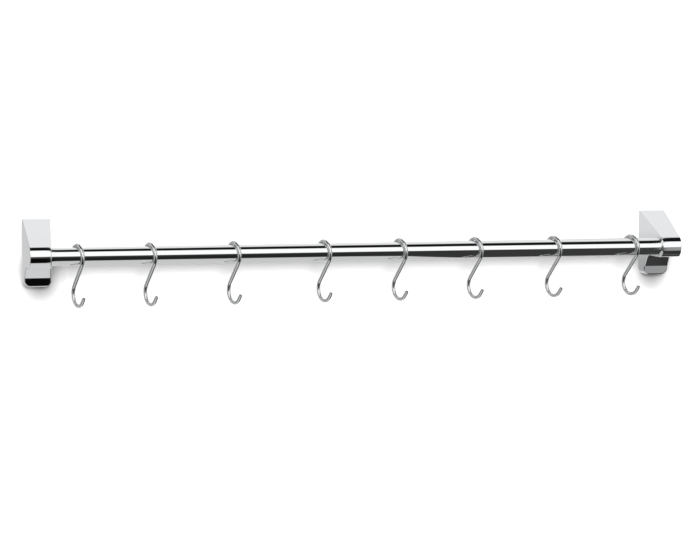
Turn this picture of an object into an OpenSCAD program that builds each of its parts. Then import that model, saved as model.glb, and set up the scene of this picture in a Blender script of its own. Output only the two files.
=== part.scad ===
// Wall hook rack: a chrome rail on two cast end brackets, with sliding S-hooks.
// Frame: X along the rail, Y points into the wall (wall face is Y = 0), Z up.
// The origin is on the wall face, midway between the brackets, at rail height.

/* [Rail] */
// Outside diameter of the rail tube
rail_d = 16; // [14:0.5:17]
// Wall thickness of the rail tube
rail_wall = 1; // [0.8:0.1:1.5]
// Distance from the middle of one bracket to the middle of the other
bracket_spacing = 570; // [560:1:900]
// Distance from the wall to the axis of the rail
rail_standoff = 45; // [42:0.5:48]

/* [Brackets] */
// Height of a bracket above the axis of the rail, at the wall
bracket_rise = 30; // [29:0.5:32]
// Depth of a bracket below the axis of the rail
bracket_drop = 29; // [28.5:0.5:30]
// Depth of the small step above the face of the foot
lip = 0.9; // [0.5:0.1:1]
// Width of a bracket at the wall
bracket_w = 25; // [24:0.5:28]
// Width of a bracket at the middle of its nose
nose_w = 19.5; // [18.5:0.5:22]
// Diameter of the round nose that holds the rail
nose_d = 20; // [20:0.5:23]
// Wall thickness of the casting
cast_wall = 2.2; // [1.8:0.1:2.4]
// Radius of the two lower corners, seen from the front
corner_r = 5.5; // [3:0.5:8]
// Radial play between the rail and its socket
socket_play = 0.05; // [0.02:0.01:0.1]
// Thickness of the outer wall that closes the socket
socket_end = 3; // [2:0.5:4]

/* [Wall plates] */
// Thickness of the wall plate
plate_t = 2.5; // [2:0.5:3]
// Width of the wall plate
plate_w = 19; // [16:0.5:19.5]
// Height between the two screw holes of a plate
hole_pitch = 32; // [26:1:34]
// Diameter of a screw hole
hole_d = 4.6; // [3.5:0.1:5]

/* [Screws] */
// Diameter of the set screw that draws the casting onto its plate
plate_screw_d = 3.9; // [3:0.1:4]
// Diameter of the set screw that locks the rail in its socket
rail_screw_d = 2.9; // [2.5:0.1:3.2]

/* [Hooks] */
// Wire diameter of a hook
wire_d = 3.3; // [2.5:0.1:4]
// Radius of the upper bend, to the middle of the wire
upper_r = 10.6; // [10.4:0.1:12]
// Radius of the lower bend, to the middle of the wire
lower_r = 10.4; // [8:0.1:12]
// Length of the straight shank between the two bends
shank_l = 23.9; // [18:0.1:30]
// Where the upper bend ends, in degrees below the front of the rail
shank_deg = 40; // [36:1:44]
// How far the upper bend reaches down behind the rail, in degrees from the front
upper_reach = 180; // [170:1:185]
// Straight length at the tip
tip_l = 5.2; // [2:0.1:8]
// Turn of every hook about the vertical
hook_yaw = 20; // [0:1:25]
// Gap between the top of the rail and the hook that hangs on it
hang_gap = 0.2; // [0.1:0.05:0.5]

/* [Hidden] */
$fn = 72;

// Places of the hooks along the rail, from left to right
hook_x = [-253, -190.5, -117, -36.5, 32, 101.5, 175, 248.5];

chrome = [0.80, 0.82, 0.85];
steel = [0.62, 0.63, 0.64];
black_steel = [0.16, 0.16, 0.17];

xb = bracket_spacing / 2;
nose_r = nose_d / 2;
top_z = bracket_rise;
low_z = -bracket_drop;
wire_r = wire_d / 2;

// The flat faces run into the nose a hair inside its tangent
flat_r = nose_r - 0.06;
// The flat top of the wedge runs from the wall down onto the nose
run = norm([rail_standoff, top_z]);
tan_deg = atan2(top_z, rail_standoff) + acos(flat_r / run);
tan_y = -rail_standoff + flat_r * cos(tan_deg);
tan_z = flat_r * sin(tan_deg);
top_slope = (top_z - tan_z) / -tan_y;

// Half width of the bracket at a distance y from the wall (y is negative)
function half_w(y) = bracket_w / 2 + (bracket_w - nose_w) / 2 * y / rail_standoff;

// Lower contour: from under the nose, down a faceted cove, to the foot
foot = [[-13.2, -21], [-10.8, low_z]];
cove = concat([[-rail_standoff, -flat_r], [-23, -flat_r],
               [-17.8 + lip, -13.4], [-17.8, -13.4]], foot);
// The same contour without its step, for the cavity
cove_in = concat([[-rail_standoff, -flat_r], [-23, -flat_r], [-18, -13]], foot);

// Moves every edge of a closed outline inwards by d
function unit(v) = v / norm(v);
function left_of(a, b) = let (u = unit(b - a)) [-u[1], u[0]];
function inset(p, d) = let (n = len(p)) [
    for (i = [0 : n - 1])
        let (a = left_of(p[(i + n - 1) % n], p[i]),
             b = left_of(p[i], p[(i + 1) % n]))
        p[i] + d * (a + b) / (1 + a * b)];

// Side outline of the wedge, counter-clockwise, as [y, z]
side = concat([[0, low_z], [0, top_z], [tan_y, tan_z]], cove);
// The same outline carried behind the wall, so that its inset is open there
open_back = cast_wall + 1;
side_open = concat([[open_back, low_z], [open_back, top_z + top_slope * open_back],
                    [tan_y, tan_z]], cove_in);

// A profile in Y and Z, extruded along X and centred on X = 0
module along_x(w) rotate([90, 0, 90]) linear_extrude(height = w, center = true) children();
// A round bar along X, from x0 over a length l
module bar_x(r, x0, l) translate([x0, 0, 0]) rotate([0, 90, 0]) cylinder(r = r, h = l);
// A round bar along Y, from y0 towards the wall
module bar_y(r, y0, l) translate([0, y0, 0]) rotate([-90, 0, 0]) cylinder(r = r, h = l);

// Plan of the bracket, tapering from the wall to the nose, less a wall thickness
module plan(less, back) translate([0, 0, -50]) linear_extrude(height = 100)
    polygon([[-half_w(back) + less, back], [half_w(back) - less, back],
             [half_w(-60) - less, -60], [-half_w(-60) + less, -60]]);

// Front outline with two round lower corners, less a wall thickness
module front(less, back) {
    e = bracket_w / 2 + 2 - less;
    r = corner_r - less;
    x = bracket_w / 2 - less - r;
    z = low_z + less + r;
    translate([0, back, 0]) rotate([90, 0, 0]) linear_extrude(height = 70)
        polygon(concat([[e, 60], [-e, 60], [-e, z]],
            [for (a = [180 : 7.5 : 270]) [-x + r * cos(a), z + r * sin(a)]],
            [for (a = [270 : 7.5 : 360]) [x + r * cos(a), z + r * sin(a)]],
            [[e, z]]));
}

// The cavity behind the casting, which takes the wall plate
module cavity() intersection() {
    along_x(60) polygon(inset(side_open, cast_wall));
    plan(cast_wall, open_back);
    front(cast_wall, open_back);
    translate([-30, -31, -50]) cube([60, 40, 100]);
}

// One casting about X = 0, with its socket open towards +X
module casting() difference() {
    intersection() {
        union() {
            along_x(40) polygon(side);
            translate([0, -rail_standoff, 0]) bar_x(nose_r, -20, 40);
        }
        plan(0, 0);
        front(0, 0);
    }
    cavity();
    // blind socket for the rail
    translate([0, -rail_standoff, 0])
        bar_x(rail_d / 2 + socket_play, -nose_w / 2 + socket_end, 40);
    // tapped hole for the screw that locks the rail, from the cavity
    translate([1.5, 0, 0]) bar_y(rail_screw_d / 2 + 0.05, -38, 10);
    // hole for the screw that clamps the casting, from below
    translate([0, -5.2, low_z - 1]) cylinder(r = plate_screw_d / 2 + 0.25, h = 8);
}

// One wall plate about X = 0
module plate() difference() {
    union() {
        // flat plate with round corners
        rotate([90, 0, 0]) linear_extrude(height = plate_t) {
            translate([-plate_w / 2, -24.3]) square([plate_w, 46.9]);
            translate([-plate_w / 2 + 2, -26.3]) square([plate_w - 4, 50.9]);
            for (x = [-1, 1], z = [-24.3, 22.6])
                translate([x * (plate_w / 2 - 2), z]) circle(r = 2);
        }
        // upper tab, against the sloping roof of the casting
        translate([-6, -5.5, 22.1]) cube([12, 5.5, 2.5]);
        // lower lug, tapped for the clamping screw
        translate([-6, -8, -26.3]) cube([12, 8, 3]);
    }
    for (z = [-1, 1])
        translate([0, 0, z * hole_pitch / 2]) bar_y(hole_d / 2, -20, 30);
    translate([0, -5.2, -28]) cylinder(r = plate_screw_d / 2 + 0.05, h = 6);
}

// A set screw along +Z with a hexagon socket in its lower end
module set_screw(d, l, hex) difference() {
    union() {
        translate([0, 0, 0.4]) cylinder(r = d / 2, h = l - 0.4);
        cylinder(r1 = d / 2 - 0.4, r2 = d / 2, h = 0.4);
    }
    translate([0, 0, -1]) cylinder(r = hex / sqrt(3), h = 1 + l * 0.35, $fn = 6);
}

module left() translate([-xb, 0, 0]) children();
module right() translate([xb, 0, 0]) mirror([1, 0, 0]) children();

module rail_tube() color(chrome) {
    l = bracket_spacing + nose_w - 2 * socket_end - 2;
    translate([0, -rail_standoff, 0]) difference() {
        bar_x(rail_d / 2, -l / 2, l);
        bar_x(rail_d / 2 - rail_wall, -l / 2 - 1, l + 2);
    }
}
module bracket_left() color(chrome) left() casting();
module bracket_right() color(chrome) right() casting();
module wall_plate_left() color(steel) left() plate();
module wall_plate_right() color(steel) right() plate();
module plate_screw() translate([0, -5.2, low_z + 0.3]) set_screw(plate_screw_d, 8, 2);
module plate_screw_left() color(black_steel) left() plate_screw();
module plate_screw_right() color(black_steel) right() plate_screw();
module rail_screw() translate([1.5, -31.2, 0]) rotate([90, 0, 0])
    set_screw(rail_screw_d, rail_standoff - rail_d / 2 - 31.2 - 0.05, 1.5);
module rail_screw_left() color(black_steel) left() rail_screw();
module rail_screw_right() color(black_steel) right() rail_screw();

// An arc of wire about the Z axis, from the X axis
module bend(r, sweep) rotate_extrude(angle = sweep) translate([r, 0]) circle(r = wire_r);

// The hook in its own plane: X towards the front, Y up, rail axis at the origin.
// It starts where the upper bend meets the shank, and each length follows the last.
module s_hook()
    translate([0, rail_d / 2 + hang_gap + wire_r - upper_r, 0])
    rotate([0, 0, -shank_deg]) {
        // upper bend, over the rail and down behind it
        bend(upper_r, upper_reach + shank_deg);
        // straight shank
        translate([upper_r, 0, 0]) rotate([90, 0, 0]) cylinder(r = wire_r, h = shank_l);
        translate([upper_r + lower_r, -shank_l, 0]) {
            // lower bend, half a turn
            rotate([0, 0, 180]) bend(lower_r, 180);
            // straight tip with a bevelled end
            translate([lower_r, 0, 0]) rotate([-90, 0, 0]) {
                cylinder(r = wire_r, h = tip_l - 0.5);
                translate([0, 0, tip_l - 0.5]) cylinder(r1 = wire_r, r2 = wire_r - 0.5, h = 0.5);
            }
        }
    }

module hook(i) color(chrome) translate([hook_x[i], -rail_standoff, 0])
    rotate([0, 0, hook_yaw - 90]) rotate([90, 0, 0]) s_hook();

rail_tube();
bracket_left();
bracket_right();
wall_plate_left();
wall_plate_right();
plate_screw_left();
plate_screw_right();
rail_screw_left();
rail_screw_right();
hook(0);  // hook_1
hook(1);  // hook_2
hook(2);  // hook_3
hook(3);  // hook_4
hook(4);  // hook_5
hook(5);  // hook_6
hook(6);  // hook_7
hook(7);  // hook_8
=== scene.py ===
# Wall hook rack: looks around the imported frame. Lengths are metres in the shared frame;
# the helpers take millimetres, as the design does, and scale at the end.
import math

import bmesh
import bpy
from mathutils import Matrix, Vector

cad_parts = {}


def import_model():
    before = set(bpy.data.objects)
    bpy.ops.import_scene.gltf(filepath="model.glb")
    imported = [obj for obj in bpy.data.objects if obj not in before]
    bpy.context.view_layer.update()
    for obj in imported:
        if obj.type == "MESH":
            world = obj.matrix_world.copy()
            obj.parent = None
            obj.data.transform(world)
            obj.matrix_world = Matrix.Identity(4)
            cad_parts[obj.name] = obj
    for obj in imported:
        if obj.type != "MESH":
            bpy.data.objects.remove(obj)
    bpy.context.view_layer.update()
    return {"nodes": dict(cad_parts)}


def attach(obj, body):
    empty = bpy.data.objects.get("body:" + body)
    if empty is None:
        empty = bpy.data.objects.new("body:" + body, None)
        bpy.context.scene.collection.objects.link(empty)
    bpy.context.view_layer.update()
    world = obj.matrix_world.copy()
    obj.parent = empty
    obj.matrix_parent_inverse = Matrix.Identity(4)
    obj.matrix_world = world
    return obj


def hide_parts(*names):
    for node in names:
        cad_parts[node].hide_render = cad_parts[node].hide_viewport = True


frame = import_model()
MM = 0.001
scene = bpy.context.scene

# ---------------------------------------------------------------- dimensions (mm), as in the design
RAIL_R, RAIL_BORE, RAIL_HALF = 8.0, 7.0, 290.75
AXIS_Y = -45.0
XB = 285.0
TOP_Z, LOW_Z = 30.0, -29.0
NOSE_R = 10.0
HALF_BACK, HALF_NOSE = 12.5, 9.75
CORNER_R = 5.5
WIRE_R = 1.65
UP_R, LOW_R = 10.6, 10.4
SHANK, SHANK_DEG, TIP = 23.9, 40.0, 5.2
YAW = math.radians(20.0)
HOOK_X = [-253, -190.5, -117, -36.5, 32, 101.5, 175, 248.5]


# ---------------------------------------------------------------- mesh helpers
def new_object(name, bm, scale=MM):
    bmesh.ops.scale(bm, vec=(scale, scale, scale), verts=bm.verts)
    bmesh.ops.recalc_face_normals(bm, faces=bm.faces)
    mesh = bpy.data.meshes.new(name)
    bm.to_mesh(mesh)
    bm.free()
    mesh.validate()
    obj = bpy.data.objects.new(name, mesh)
    scene.collection.objects.link(obj)
    return obj


def smooth(obj, degrees=32.0):
    me = obj.data
    me.polygons.foreach_set("use_smooth", [True] * len(me.polygons))
    me.set_sharp_from_angle(angle=math.radians(degrees))


def weighted(obj):
    m = obj.modifiers.new("weighted_normals", "WEIGHTED_NORMAL")
    m.mode = "FACE_AREA"
    m.weight = 50
    m.keep_sharp = True


def bake_modifiers(obj):
    """Applies the modifier stack, so the object is left with a plain mesh."""
    dg = bpy.context.evaluated_depsgraph_get()
    dg.update()
    made = bpy.data.meshes.new_from_object(obj.evaluated_get(dg))
    old = obj.data
    name = old.name
    obj.modifiers.clear()
    obj.data = made
    bpy.data.meshes.remove(old)
    made.name = name


def ring_skin(bm, rings, close_start=True, close_end=True):
    """Joins rings of equal vertex count into a skin. A one-vertex ring is a pole."""
    made = [[bm.verts.new(p) for p in r] for r in rings]
    for a, b in zip(made[:-1], made[1:]):
        n = max(len(a), len(b))
        for i in range(n):
            j = (i + 1) % n
            if len(a) == 1:
                bm.faces.new((a[0], b[j], b[i]))
            elif len(b) == 1:
                bm.faces.new((a[i], a[j], b[0]))
            else:
                bm.faces.new((a[i], a[j], b[j], b[i]))
    if close_start and len(made[0]) > 1:
        bm.faces.new(list(reversed(made[0])))
    if close_end and len(made[-1]) > 1:
        bm.faces.new(made[-1])
    return made


def lathe(bm, profile, n, place, closed=False):
    """Turns a profile of (along, radius) about an axis. place(along, a, b) gives the point."""
    rings = []
    for s, r in profile:
        if r < 1e-6:
            rings.append([place(s, 0.0, 0.0)])
        else:
            rings.append([place(s, r * math.cos(2 * math.pi * k / n), r * math.sin(2 * math.pi * k / n)) for k in range(n)])
    if closed:
        made = [[bm.verts.new(p) for p in r] for r in rings]
        m = len(made)
        for q in range(m):
            a, b = made[q], made[(q + 1) % m]
            for i in range(n):
                j = (i + 1) % n
                bm.faces.new((a[i], a[j], b[j], b[i]))
        return made
    return ring_skin(bm, rings)


def arc(cx, cy, r, a0, a1, n):
    return [(cx + r * math.cos(math.radians(a0 + (a1 - a0) * k / n)),
             cy + r * math.sin(math.radians(a0 + (a1 - a0) * k / n))) for k in range(n + 1)]


def fillet(prev, corner, nxt, r, n):
    """The arc of radius r that rounds a corner of an outline."""
    p, c, q = Vector(prev), Vector(corner), Vector(nxt)
    u, v = (p - c).normalized(), (q - c).normalized()
    half = math.acos(max(-1.0, min(1.0, u.dot(v)))) / 2
    cut = r / math.tan(half)
    mid = c + (u + v).normalized() * (r / math.sin(half))
    a = (c + u * cut) - mid
    b = (c + v * cut) - mid
    out = []
    ang = a.angle(b)
    for k in range(n + 1):
        t = k / n
        d = (a * math.sin((1 - t) * ang) + b * math.sin(t * ang)) / math.sin(ang)
        out.append(tuple(mid + d))
    return out


# ---------------------------------------------------------------- the rail
def build_rail():
    bm = bmesh.new()
    e, b = RAIL_HALF, 0.3
    outer = [(-e + b * (1 - math.sin(math.radians(a))), RAIL_R - b * (1 - math.cos(math.radians(a)))) for a in (90, 60, 30, 0)]
    inner = [(-e + b * (1 - math.sin(math.radians(a))), RAIL_BORE + b * (1 - math.cos(math.radians(a)))) for a in (0, 30, 60, 90)]
    left = list(reversed(outer))[:]  # from the end face to the outside
    prof = []
    near = (-e + b + 0.1, -e + b + 0.4)
    # outside, from left to right, with close rings beside the bevels
    prof += left
    prof += [(x, RAIL_R) for x in near + (-240, -180, -120, -60, 0, 60, 120, 180, 240)]
    prof += [(-x, RAIL_R) for x in reversed(near)]
    prof += [(-x, r) for x, r in outer]
    # bore, from right to left
    prof += [(-x, r) for x, r in inner]
    prof += [(-x, RAIL_BORE) for x in near] + [(x, RAIL_BORE) for x in (180, 60, -60, -180)]
    prof += [(x, RAIL_BORE) for x in reversed(near)]
    prof += list(reversed(inner))
    lathe(bm, prof, 144, lambda s, a, c: (s, AXIS_Y + a, c), closed=True)
    obj = new_object("rail_skin", bm)
    smooth(obj, 40)
    return obj


# ---------------------------------------------------------------- one hook, about its own plane
def hook_line():
    """Middle line of the wire as (u forward, v up) with its tangent, from behind the rail to the tip."""
    pts = []
    cu, cv = 0.0, RAIL_R + 0.2 + WIRE_R - UP_R
    n = 64
    for k in range(n + 1):
        a = math.radians(180 - (180 + SHANK_DEG) * k / n)
        pts.append((cu + UP_R * math.cos(a), cv + UP_R * math.sin(a), math.sin(a), -math.cos(a)))
    a = math.radians(-SHANK_DEG)
    su, sv, tu, tv = pts[-1]
    for k in range(1, 9):
        pts.append((su + tu * SHANK * k / 8, sv + tv * SHANK * k / 8, tu, tv))
    eu, ev = su + tu * SHANK, sv + tv * SHANK
    # centre of the lower bend: to the other side of the shank
    lu, lv = eu + LOW_R * math.cos(a), ev + LOW_R * math.sin(a)
    n = 56
    for k in range(1, n + 1):
        b = math.radians(180 - SHANK_DEG + 180 * k / n)
        pts.append((lu + LOW_R * math.cos(b), lv + LOW_R * math.sin(b), -math.sin(b), math.cos(b)))
    su, sv, tu, tv = pts[-1]
    for k in range(1, 5):
        s = (TIP - 0.55) * k / 4
        pts.append((su + tu * s, sv + tv * s, tu, tv))
    return pts


def build_hook(i):
    bm = bmesh.new()
    n = 40
    cy, sy = math.cos(YAW), math.sin(YAW)
    x0 = HOOK_X[i]

    def world(u, v, w):
        # w is across the hook's plane
        return (x0 + u * sy + w * cy, AXIS_Y - u * cy + w * sy, v)

    def ring(u, v, tu, tv, r, shift=0.0):
        u, v = u + tu * shift, v + tv * shift
        if r < 1e-6:
            return [world(u, v, 0.0)]
        out = []
        for k in range(n):
            a = 2 * math.pi * k / n
            # in-plane normal is (tv, -tu)
            out.append(world(u + tv * r * math.cos(a), v - tu * r * math.cos(a), r * math.sin(a)))
        return out

    pts = hook_line()
    rings = []
    # sawn and tumbled upper end, hidden behind the rail
    f = 0.45
    u, v, tu, tv = pts[0]
    for r, s in ((0.0, 0.0), (0.55, 0.0), (WIRE_R - f, 0.0)):
        rings.append(ring(u, v, tu, tv, r, s))
    for deg in (22.5, 45, 67.5):
        a = math.radians(deg)
        rings.append(ring(u, v, tu, tv, WIRE_R - f + f * math.sin(a), f * (1 - math.cos(a))))
    rings.append(ring(u, v, tu, tv, WIRE_R, f))
    for q in pts[3:]:
        rings.append(ring(*q, WIRE_R))
    # rounded tip: a short fillet, then a shallow dome
    u, v, tu, tv = pts[-1]
    f = 0.5
    for deg in (15, 30, 45, 60, 75):
        a = math.radians(deg)
        rings.append(ring(u, v, tu, tv, WIRE_R - f * (1 - math.cos(a)), f * math.sin(a)))
    for r in (0.9, 0.45, 0.0):
        rings.append(ring(u, v, tu, tv, r, f + 0.05 * (1 - (r / 1.2) ** 2)))
    ring_skin(bm, rings)
    obj = new_object("hook_%d_wire" % (i + 1), bm)
    smooth(obj, 60)
    return obj


# ---------------------------------------------------------------- one casting, about X = 0, socket towards +X
def half_w(y):
    return HALF_BACK + (HALF_BACK - HALF_NOSE) * y / 45.0


def foot_front(z):
    """Y of the foot's lower front face at a height."""
    return -13.2 + (z + 21.0) / (-8.0) * 2.4


def prism(line, inset, corner=False):
    """A tapered solid from a side outline of [y, z]; when corner is set, its two lower corners are rounded."""
    bm = bmesh.new()
    left = [bm.verts.new((-(half_w(y) - inset), y, z)) for y, z in line]
    right = [bm.verts.new((half_w(y) - inset, y, z)) for y, z in line]
    n = len(line)
    for k in range(n):
        j = (k + 1) % n
        bm.faces.new((left[k], left[j], right[j], right[k]))
    bm.faces.new(left)
    bm.faces.new(list(reversed(right)))
    bmesh.ops.recalc_face_normals(bm, faces=bm.faces)
    if corner:
        # the two round lower corners, kept off the sides of the outline
        edges = [e for e in bm.edges if all(v.co.z < LOW_Z + 0.01 for v in e.verts) and abs(e.verts[0].co.y - e.verts[1].co.y) > 5]
        bmesh.ops.bevel(bm, geom=edges, offset=CORNER_R, offset_type="OFFSET", segments=16, profile=0.5, affect="EDGES", clamp_overlap=True)
    return bm


def round_sides(bm, r, segments):
    """Round every edge between a side (or round corner) and the outline, except along the wall."""
    bm.normal_update()
    edges = []
    for e in bm.edges:
        if len(e.link_faces) != 2 or min(v.co.y for v in e.verts) > -0.01:
            continue
        if e.calc_face_angle(0) < math.radians(30):
            continue
        if abs(e.verts[0].co.x + e.verts[1].co.x) < 1e-3 and abs(e.verts[0].co.x - e.verts[1].co.x) > 1.0 and max(v.co.z for v in e.verts) > LOW_Z + 0.1:
            continue
        edges.append(e)
    bmesh.ops.bevel(bm, geom=edges, offset=r, offset_type="OFFSET", segments=segments, profile=0.5,
                    affect="EDGES", clamp_overlap=True, loop_slide=True)
    return bm


def casting_wedge():
    """The arm: flat sloping top, round nose and the cove that runs back under it."""
    run = math.hypot(45.0, TOP_Z)
    tan_deg = math.degrees(math.atan2(TOP_Z, 45.0) + math.acos(NOSE_R / run))
    line = [(0.0, TOP_Z)]
    line += arc(AXIS_Y, 0.0, NOSE_R, tan_deg, 270.0, 48)
    line += fillet((-45.0, -10.0), (-23.0, -10.0), (-16.9, -13.4), 2.0, 5)
    line += [(-14.0, -15.0164), (0.0, -15.0164)]
    return round_sides(prism(line, 0.0), 0.8, 8)


def casting_foot():
    """The faceted foot below the arm; its upper facet runs up into the cove."""
    line = [(0.0, -12.0), (-16.5, -12.0), (-18.6, -12.45), (-13.2, -21.0), (foot_front(LOW_Z), LOW_Z), (0.0, LOW_Z)]
    return round_sides(prism(line, 0.04, True), 1.0, 8)


def cutter_cavity():
    """The hollow behind the casting, open at the back, 2.2 mm inside the outer faces."""
    bm = bmesh.new()
    w = 2.2
    # inset side outline, stopped at y = -31
    slope = (TOP_Z - 9.2019) / 48.9129
    drop = w * math.hypot(1.0, slope)
    top_b = (1.0, TOP_Z + slope * 1.0 - drop)
    top_f = (-31.0, TOP_Z - slope * 31.0 - drop)
    low = [(-31.0, -10.0 + w), (-22.35, -10.0 + w), (-16.4, -11.35), (-11.1, -20.2), (-9.15, LOW_Z + w), (1.0, LOW_Z + w)]
    line = [top_b, top_f] + low
    left = [bm.verts.new((-(half_w(y) - w), y, z)) for y, z in line]
    right = [bm.verts.new((half_w(y) - w, y, z)) for y, z in line]
    n = len(line)
    for k in range(n):
        j = (k + 1) % n
        bm.faces.new((left[k], left[j], right[j], right[k]))
    bm.faces.new(left)
    bm.faces.new(list(reversed(right)))
    # the two lower inner edges are rounded like the corners outside
    edges = [e for e in bm.edges if all(v.co.z < LOW_Z + w + 0.1 for v in e.verts) and abs(e.verts[0].co.y - e.verts[1].co.y) > 5]
    bmesh.ops.recalc_face_normals(bm, faces=bm.faces)
    bmesh.ops.bevel(bm, geom=edges, offset=3.0, offset_type="OFFSET", segments=8, profile=0.5, affect="EDGES", clamp_overlap=True)
    edges = [e for e in bm.edges if e.calc_face_angle(0) > math.radians(40) and max(v.co.y for v in e.verts) < 0.9]
    bmesh.ops.bevel(bm, geom=edges, offset=0.8, offset_type="OFFSET", segments=3, profile=0.5, affect="EDGES", clamp_overlap=True)
    return bm


def bar(profile, n, place):
    bm = bmesh.new()
    lathe(bm, profile, n, place)
    return bm


def build_casting(name, s):
    body = new_object(name, casting_wedge(), 1.0)
    foot = new_object("add_foot", casting_foot(), 1.0)
    m = body.modifiers.new("add_foot", "BOOLEAN")
    m.operation = "UNION"
    m.solver = "EXACT"
    m.object = foot
    cutters = [
        new_object("cut_cavity", cutter_cavity(), 1.0),
        # blind socket for the rail, with a small lead-in at its mouth
        new_object("cut_socket", bar([(-6.75, 0), (-6.75, 8.05), (9.3, 8.05), (10.6, 8.75), (30, 8.75), (30, 0)], 144,
                                     lambda q, a, b: (q, AXIS_Y + a, b)), 1.0),
        new_object("cut_lock", bar([(-38, 0), (-38, 1.5), (-31.3, 1.5), (-30.6, 2.1), (-28, 2.1), (-28, 0)], 40,
                                   lambda q, a, b: (1.5 + a, q, b)), 1.0),
        new_object("cut_clamp", bar([(-30, 0), (-30, 3.7), (-28.55, 2.25), (-28.5, 2.2), (-23, 2.2), (-23, 0)], 48,
                                    lambda q, a, b: (a, -5.2 + b, q)), 1.0),
    ]
    for c in cutters:
        m = body.modifiers.new(c.name, "BOOLEAN")
        m.operation = "DIFFERENCE"
        m.solver = "EXACT"
        m.object = c
    bake_modifiers(body)
    for c in cutters + [foot]:
        me = c.data
        bpy.data.objects.remove(c)
        bpy.data.meshes.remove(me)
    bm = bmesh.new()
    bm.from_mesh(body.data)
    bmesh.ops.remove_doubles(bm, verts=bm.verts, dist=1e-4)
    # the left casting opens towards +X, the right one is its mirror image
    for v in bm.verts:
        v.co = Vector((s * v.co.x - s * XB, v.co.y, v.co.z))
    if s < 0:
        bmesh.ops.reverse_faces(bm, faces=bm.faces)
    bmesh.ops.scale(bm, vec=(MM, MM, MM), verts=bm.verts)
    bm.to_mesh(body.data)
    bm.free()
    smooth(body, 13.2)
    weighted(body)
    bake_modifiers(body)
    return body


# ---------------------------------------------------------------- node helpers
class Graph:
    def __init__(self, tree):
        self.t = tree
        self.n = tree.nodes
        self.l = tree.links

    def node(self, kind, **props):
        n = self.n.new(kind)
        for k, v in props.items():
            setattr(n, k, v)
        return n

    def put(self, socket, value):
        if isinstance(value, bpy.types.NodeSocket):
            self.l.new(value, socket)
        else:
            socket.default_value = value

    def math(self, op, a, b=None, c=None, clamp=False):
        n = self.node("ShaderNodeMath", operation=op, use_clamp=clamp)
        for i, v in enumerate((a, b, c)):
            if v is not None:
                self.put(n.inputs[i], v)
        return n.outputs[0]

    def span(self, value, a, b, lo=0.0, hi=1.0, soft=True):
        """lo below a, hi above b, smooth between."""
        n = self.node("ShaderNodeMapRange", interpolation_type="SMOOTHSTEP" if soft else "LINEAR", clamp=True)
        self.put(n.inputs["Value"], value)
        self.put(n.inputs["From Min"], a)
        self.put(n.inputs["From Max"], b)
        self.put(n.inputs["To Min"], lo)
        self.put(n.inputs["To Max"], hi)
        return n.outputs["Result"]

    def mix(self, fac, a, b):
        n = self.node("ShaderNodeMix", data_type="FLOAT")
        self.put(n.inputs[0], fac)
        self.put(n.inputs[2], a)
        self.put(n.inputs[3], b)
        return n.outputs[0]

    def noise(self, scale, detail=3.0, rough=0.5, vector=None, distortion=0.0):
        n = self.node("ShaderNodeTexNoise")
        n.inputs["Scale"].default_value = scale
        n.inputs["Detail"].default_value = detail
        n.inputs["Roughness"].default_value = rough
        n.inputs["Distortion"].default_value = distortion
        if vector is not None:
            self.l.new(vector, n.inputs["Vector"])
        return n.outputs["Fac"]


def material(name):
    m = bpy.data.materials.new(name)
    m.use_nodes = True
    m.node_tree.nodes.clear()
    g = Graph(m.node_tree)
    out = g.node("ShaderNodeOutputMaterial")
    p = g.node("ShaderNodeBsdfPrincipled")
    g.l.new(p.outputs[0], out.inputs[0])
    return m, g, p


def chrome(name, colour, rough=0.03, wave=0.0):
    """Bright plated metal: a faint change of polish, and a very slight unevenness under the plating."""
    m, g, p = material(name)
    p.inputs["Metallic"].default_value = 1.0
    pos = g.node("ShaderNodeTexCoord").outputs["Object"]
    cloud = g.noise(38.0, 4.0, 0.6, pos)
    fine = g.noise(900.0, 2.0, 0.5, pos)
    ramp = g.node("ShaderNodeValToRGB")
    ramp.color_ramp.elements[0].position = 0.3
    ramp.color_ramp.elements[1].position = 0.75
    ramp.color_ramp.elements[0].color = (colour[0] * 0.975, colour[1] * 0.98, colour[2] * 0.985, 1)
    ramp.color_ramp.elements[1].color = (*colour, 1)
    g.l.new(cloud, ramp.inputs[0])
    g.l.new(ramp.outputs[0], p.inputs["Base Color"])
    r = g.math("MULTIPLY_ADD", g.span(cloud, 0.35, 0.75), rough * 0.6, rough * 0.7)
    r = g.math("MULTIPLY_ADD", fine, rough * 0.25, r)
    g.l.new(r, p.inputs["Roughness"])
    if wave:
        b = g.node("ShaderNodeBump")
        b.inputs["Strength"].default_value = 1.0
        b.inputs["Distance"].default_value = wave
        g.l.new(g.noise(70.0, 1.0, 0.4, pos), b.inputs["Height"])
        g.l.new(b.outputs[0], p.inputs["Normal"])
    return m


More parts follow.
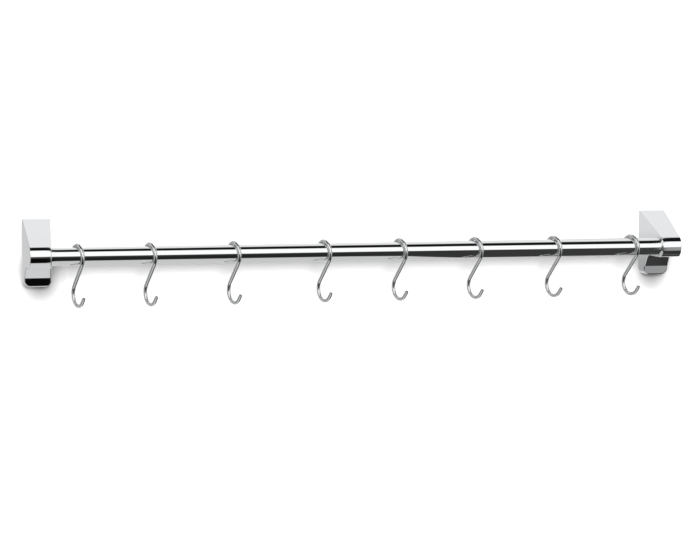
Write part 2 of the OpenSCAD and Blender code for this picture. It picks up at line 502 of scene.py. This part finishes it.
def steel(name, colour, rough, along=(1.0, 1.0, 1.0), grain=2200.0, depth=6e-6):
    """Plain steel with fine rolled or turned lines along one direction."""
    m, g, p = material(name)
    p.inputs["Metallic"].default_value = 1.0
    pos = g.node("ShaderNodeTexCoord").outputs["Object"]
    mp = g.node("ShaderNodeMapping")
    mp.inputs["Scale"].default_value = along
    g.l.new(pos, mp.inputs["Vector"])
    lines = g.noise(grain, 3.0, 0.6, mp.outputs[0])
    cloud = g.noise(120.0, 4.0, 0.6, pos)
    ramp = g.node("ShaderNodeValToRGB")
    ramp.color_ramp.elements[0].position = 0.25
    ramp.color_ramp.elements[1].position = 0.8
    ramp.color_ramp.elements[0].color = tuple(c * 0.72 for c in colour) + (1,)
    ramp.color_ramp.elements[1].color = (*colour, 1)
    g.l.new(g.math("MULTIPLY_ADD", cloud, 0.6, g.math("MULTIPLY", lines, 0.4)), ramp.inputs[0])
    g.l.new(ramp.outputs[0], p.inputs["Base Color"])
    g.l.new(g.math("MULTIPLY_ADD", lines, rough * 0.5, rough * 0.75), p.inputs["Roughness"])
    b = g.node("ShaderNodeBump")
    b.inputs["Strength"].default_value = 0.8
    b.inputs["Distance"].default_value = depth
    g.l.new(lines, b.inputs["Height"])
    g.l.new(b.outputs[0], p.inputs["Normal"])
    return m


# ---------------------------------------------------------------- materials
m_rail = chrome("rail_chrome", (0.80, 0.805, 0.81), 0.03)
m_cast = chrome("bracket_chrome", (0.80, 0.805, 0.815), 0.03, 6e-6)
m_hook = chrome("hook_chrome", (0.67, 0.68, 0.68), 0.05, 4e-6)
m_plate = steel("plate_steel", (0.60, 0.60, 0.61), 0.34, (1.0, 1.0, 0.03))
m_screw = steel("screw_steel", (0.30, 0.30, 0.31), 0.30, (1.0, 0.05, 0.05), 1800.0)


def dress(obj, mat):
    obj.data.materials.clear()
    obj.data.materials.append(mat)


# ---------------------------------------------------------------- pieces
rail = build_rail()
dress(rail, m_rail)
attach(rail, "rack")
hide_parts("rail_tube")

for side, s in (("left", 1), ("right", -1)):
    c = build_casting("casting_" + side, s)
    dress(c, m_cast)
    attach(c, "rack")
    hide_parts("bracket_" + side)

for i in range(8):
    h = build_hook(i)
    dress(h, m_hook)
    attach(h, "hook_%d" % (i + 1))
    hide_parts("hook_%d" % (i + 1))

for n, obj in frame["nodes"].items():
    if n.startswith("wall_plate"):
        dress(obj, m_plate)
    elif "screw" in n:
        dress(obj, m_screw)

# ---------------------------------------------------------------- camera
yaw, pitch = math.radians(12.1916), math.radians(-5.5162)
fwd = Vector((math.sin(yaw) * math.cos(pitch), math.cos(yaw) * math.cos(pitch), math.sin(pitch)))
cam_data = bpy.data.cameras.new("camera")
cam_data.sensor_width = 36.0
cam_data.sensor_fit = "HORIZONTAL"
cam_data.lens = 2095.544 / 700 * 36.0
cam_data.clip_start, cam_data.clip_end = 0.05, 60.0
cam = bpy.data.objects.new("camera", cam_data)
cam.location = (-0.403366, -1.851413, 0.153350)
right = Vector((math.cos(yaw), -math.sin(yaw), 0.0))
up = right.cross(fwd)
cam.matrix_world = Matrix((
    (right.x, up.x, -fwd.x, cam.location.x),
    (right.y, up.y, -fwd.y, cam.location.y),
    (right.z, up.z, -fwd.z, cam.location.z),
    (0, 0, 0, 1)))
scene.collection.objects.link(cam)
scene.camera = cam


# ---------------------------------------------------------------- studio: wall, floor, light
def plane(name, corners, mat):
    bm = bmesh.new()
    bm.faces.new([bm.verts.new(c) for c in corners])
    me = bpy.data.meshes.new(name)
    bm.to_mesh(me)
    bm.free()
    o = bpy.data.objects.new(name, me)
    scene.collection.objects.link(o)
    me.materials.append(mat)
    return o


# the painted wall: seen from the room it is matt white, with a painted shadow round each bracket's foot; from behind
# it isn't there
m_wall = bpy.data.materials.new("wall_paint")
m_wall.use_nodes = True
m_wall.node_tree.nodes.clear()
g = Graph(m_wall.node_tree)
out = g.node("ShaderNodeOutputMaterial")
dif = g.node("ShaderNodeBsdfDiffuse")
xyz = g.node("ShaderNodeSeparateXYZ")
g.l.new(g.node("ShaderNodeTexCoord").outputs["Object"], xyz.inputs[0])


def painted_foot_shadow(xc, zc, a, b):
    """A painted soft contact shadow on the wall round a foot, 1 in its middle and 0 at its rim."""
    u = g.math("DIVIDE", g.math("SUBTRACT", xyz.outputs[0], xc), a)
    w = g.math("DIVIDE", g.math("SUBTRACT", xyz.outputs[2], zc), b)
    r = g.math("SQRT", g.math("ADD", g.math("MULTIPLY", u, u), g.math("MULTIPLY", w, w)))
    return g.math("SUBTRACT", 1.0, r, clamp=True)


# painted shadows: the wall's white is darkened round both feet, standing in for their contact shadows
painted_foot_shadows = g.math("ADD", painted_foot_shadow(-0.282, -0.022, 0.0235, 0.029), painted_foot_shadow(0.286, -0.022, 0.0225, 0.030))
g.l.new(g.math("SUBTRACT", 0.88, g.math("MULTIPLY", painted_foot_shadows, 0.88)), dif.inputs["Color"])
tra = g.node("ShaderNodeBsdfTransparent")
mix = g.node("ShaderNodeMixShader")
g.l.new(g.node("ShaderNodeNewGeometry").outputs["Backfacing"], mix.inputs[0])
g.l.new(dif.outputs[0], mix.inputs[1])
g.l.new(tra.outputs[0], mix.inputs[2])
g.l.new(mix.outputs[0], out.inputs[0])
wall = plane("wall", [(-6, 0.0006, -2.8), (6, 0.0006, -2.8), (6, 0.0006, 4), (-6, 0.0006, 4)], m_wall)
wall.visible_glossy = False
wall.visible_diffuse = False
wall.visible_shadow = False

m_floor = bpy.data.materials.new("floor_paint")
m_floor.use_nodes = True
m_floor.node_tree.nodes["Principled BSDF"].inputs["Base Color"].default_value = (0.82, 0.82, 0.81, 1)
m_floor.node_tree.nodes["Principled BSDF"].inputs["Roughness"].default_value = 0.9
floor = plane("floor", [(-8, -10, -2.8), (8, -10, -2.8), (8, 6, -2.8), (-8, 6, -2.8)], m_floor)
floor.visible_glossy = False


def area(name, place, target, size, watts, shape="DISK"):
    d = bpy.data.lights.new(name, "AREA")
    d.shape = shape
    d.size = size
    d.energy = watts
    o = bpy.data.objects.new(name, d)
    o.location = place
    o.rotation_mode = "QUATERNION"
    o.rotation_quaternion = (Vector(target) - Vector(place)).to_track_quat("-Z", "Y")
    scene.collection.objects.link(o)
    o.visible_glossy = False
    o.visible_camera = False
    return o


area("key", (-0.15, -2.35, 0.50), (0, 0, 0), 0.95, 68.0)
area("upper", (0.0, -1.9, 1.20), (0, 0, 0), 1.3, 12.0)

# a glowing patch, seen only in reflections, that paints the wall's reflection into the right bracket's inner side:
# bright above the rail, with the rail's shadow painted below it
m_painted_wall_reflection = bpy.data.materials.new("painted_wall_reflection")
m_painted_wall_reflection.use_nodes = True
m_painted_wall_reflection.node_tree.nodes.clear()
g = Graph(m_painted_wall_reflection.node_tree)
out = g.node("ShaderNodeOutputMaterial")
em = g.node("ShaderNodeEmission")
xyz = g.node("ShaderNodeSeparateXYZ")
g.l.new(g.node("ShaderNodeTexCoord").outputs["Object"], xyz.inputs[0])
g.l.new(g.span(xyz.outputs[2], -0.020, 0.016, 0.46, 0.86), em.inputs["Strength"])
g.l.new(em.outputs[0], out.inputs[0])
patch = plane("painted_wall_reflection", [(0.205, 0.0003, -0.034), (0.2722, 0.0003, -0.034), (0.2722, 0.0003, 0.07), (0.205, 0.0003, 0.07)], m_painted_wall_reflection)
# a small, dimly glowing grey card below the right bracket, seen only in reflections: it paints a grey reflection into
# the lower facet of its foot
m_painted_grey_reflection = bpy.data.materials.new("grey_card")
m_painted_grey_reflection.use_nodes = True
m_painted_grey_reflection.node_tree.nodes.clear()
g = Graph(m_painted_grey_reflection.node_tree)
em = g.node("ShaderNodeEmission")
em.inputs["Strength"].default_value = 0.38
g.l.new(em.outputs[0], g.node("ShaderNodeOutputMaterial").inputs[0])
card = plane("grey_card", [(0.281, -0.045, -0.058), (0.318, -0.045, -0.058), (0.318, -0.045, -0.0445), (0.281, -0.045, -0.0445)], m_painted_grey_reflection)
# the patch and the card glow and are seen only in reflections: both are painted reflections
for thing in (patch, card):
    thing.visible_camera = False
    thing.visible_diffuse = False
    thing.visible_shadow = False

# world: soft white for matt surfaces, a plain pale field behind everything, and for polished
# surfaces a tent of softboxes and black cards laid out by the angle above the horizon
world = bpy.data.worlds.new("studio")
scene.world = world
world.use_nodes = True
world.node_tree.nodes.clear()
g = Graph(world.node_tree)
out = g.node("ShaderNodeOutputWorld")
xyz = g.node("ShaderNodeSeparateXYZ")
g.l.new(g.node("ShaderNodeTexCoord").outputs["Generated"], xyz.inputs[0])
X, Y, Z = xyz.outputs
E = g.math("DEGREES", g.math("ARCTAN2", Z, g.math("MULTIPLY", Y, -1.0)))


def along(pairs):
    """A value that changes with X, given as (x, value) pairs."""
    v = None
    for (x0, v0), (x1, v1) in zip(pairs[:-1], pairs[1:]):
        if v is None:
            v = g.span(X, x0, x1, v0, v1, soft=False)
        else:
            v = g.math("ADD", v, g.span(X, x0, x1, 0.0, v1 - v0, soft=False))
    return v


def above(edge, soft):
    """0 below the edge angle, 1 above it."""
    return g.span(g.math("SUBTRACT", E, edge), -soft, soft)


LB0, LB1, RB0, RB1 = 0.0706, 0.0711, 0.3508, 0.3516
# tent walls far to the left and right, and what the casting sees of the wall beside it
SIDE_R = g.span(X, 0.70, 0.80)
SIDE_L = g.span(g.math("MULTIPLY", X, -1.0), 0.62, 0.76)
top_light = along([(LB0, 119), (LB1, 104), (0.34, 88), (RB0, 88), (RB1, 106)])
top_dark = along([(LB0, 73), (LB1, 66), (0.15, 60), (0.26, 51), (RB0, 42), (RB1, 52)])
white_low = along([(LB0, 8), (LB1, 9), (0.13, 6), (0.21, 3), (0.30, -4), (RB0, -10), (RB1, -7)])
grey_low = along([(RB0, -10), (RB1, -45)])
dark_low = along([(LB0, -57), (LB1, -50), (0.13, -53), (0.21, -58), (0.235, -66), (0.262, -118), (0.30, -128), (0.35, -136)])
deep = along([(LB0, 0.003), (LB1, 0.016), (0.20, 0.024), (0.27, 0.045), (RB0, 0.05), (RB1, 0.040)])
low_grey = along([(LB0, 0.76), (LB1, 0.70)])
v = low_grey
v = g.mix(above(dark_low, 4.0), v, deep)
v = g.mix(above(grey_low, 2.5), v, along([(RB0, 0.05), (RB1, 0.38)]))
v = g.mix(above(white_low, 3.0), v, 1.25)
v = g.mix(above(top_dark, 3.0), v, 0.008)
v = g.mix(above(top_light, 7.0), v, 0.99)
# the wall to the left, as the outer side of the left bracket mirrors it
v = g.mix(g.math("MULTIPLY", g.span(g.math("MULTIPLY", X, -1.0), 0.10, 0.15), g.span(Y, 0.3, 0.6)), v, 0.66)
side = g.mix(g.span(Z, -0.36, -0.16), 0.26, 0.60)
side = g.mix(g.span(Z, 0.14, 0.17), side, 0.05)
side = g.mix(g.span(Z, 0.25, 0.29), side, 0.97)
v = g.mix(g.math("MAXIMUM", SIDE_L, SIDE_R), v, side)
path = g.node("ShaderNodeLightPath")
seen = g.mix(path.outputs["Is Glossy Ray"], 0.36, v)
seen = g.mix(path.outputs["Is Camera Ray"], seen, 1.0)
bg = g.node("ShaderNodeBackground")
bg.inputs["Color"].default_value = (1, 1, 1, 1)
g.l.new(seen, bg.inputs["Strength"])
g.l.new(bg.outputs[0], out.inputs[0])

scene.view_settings.view_transform = "Standard"
scene.view_settings.look = "None"
scene.view_settings.exposure = 0.0
scene.view_settings.gamma = 1.0
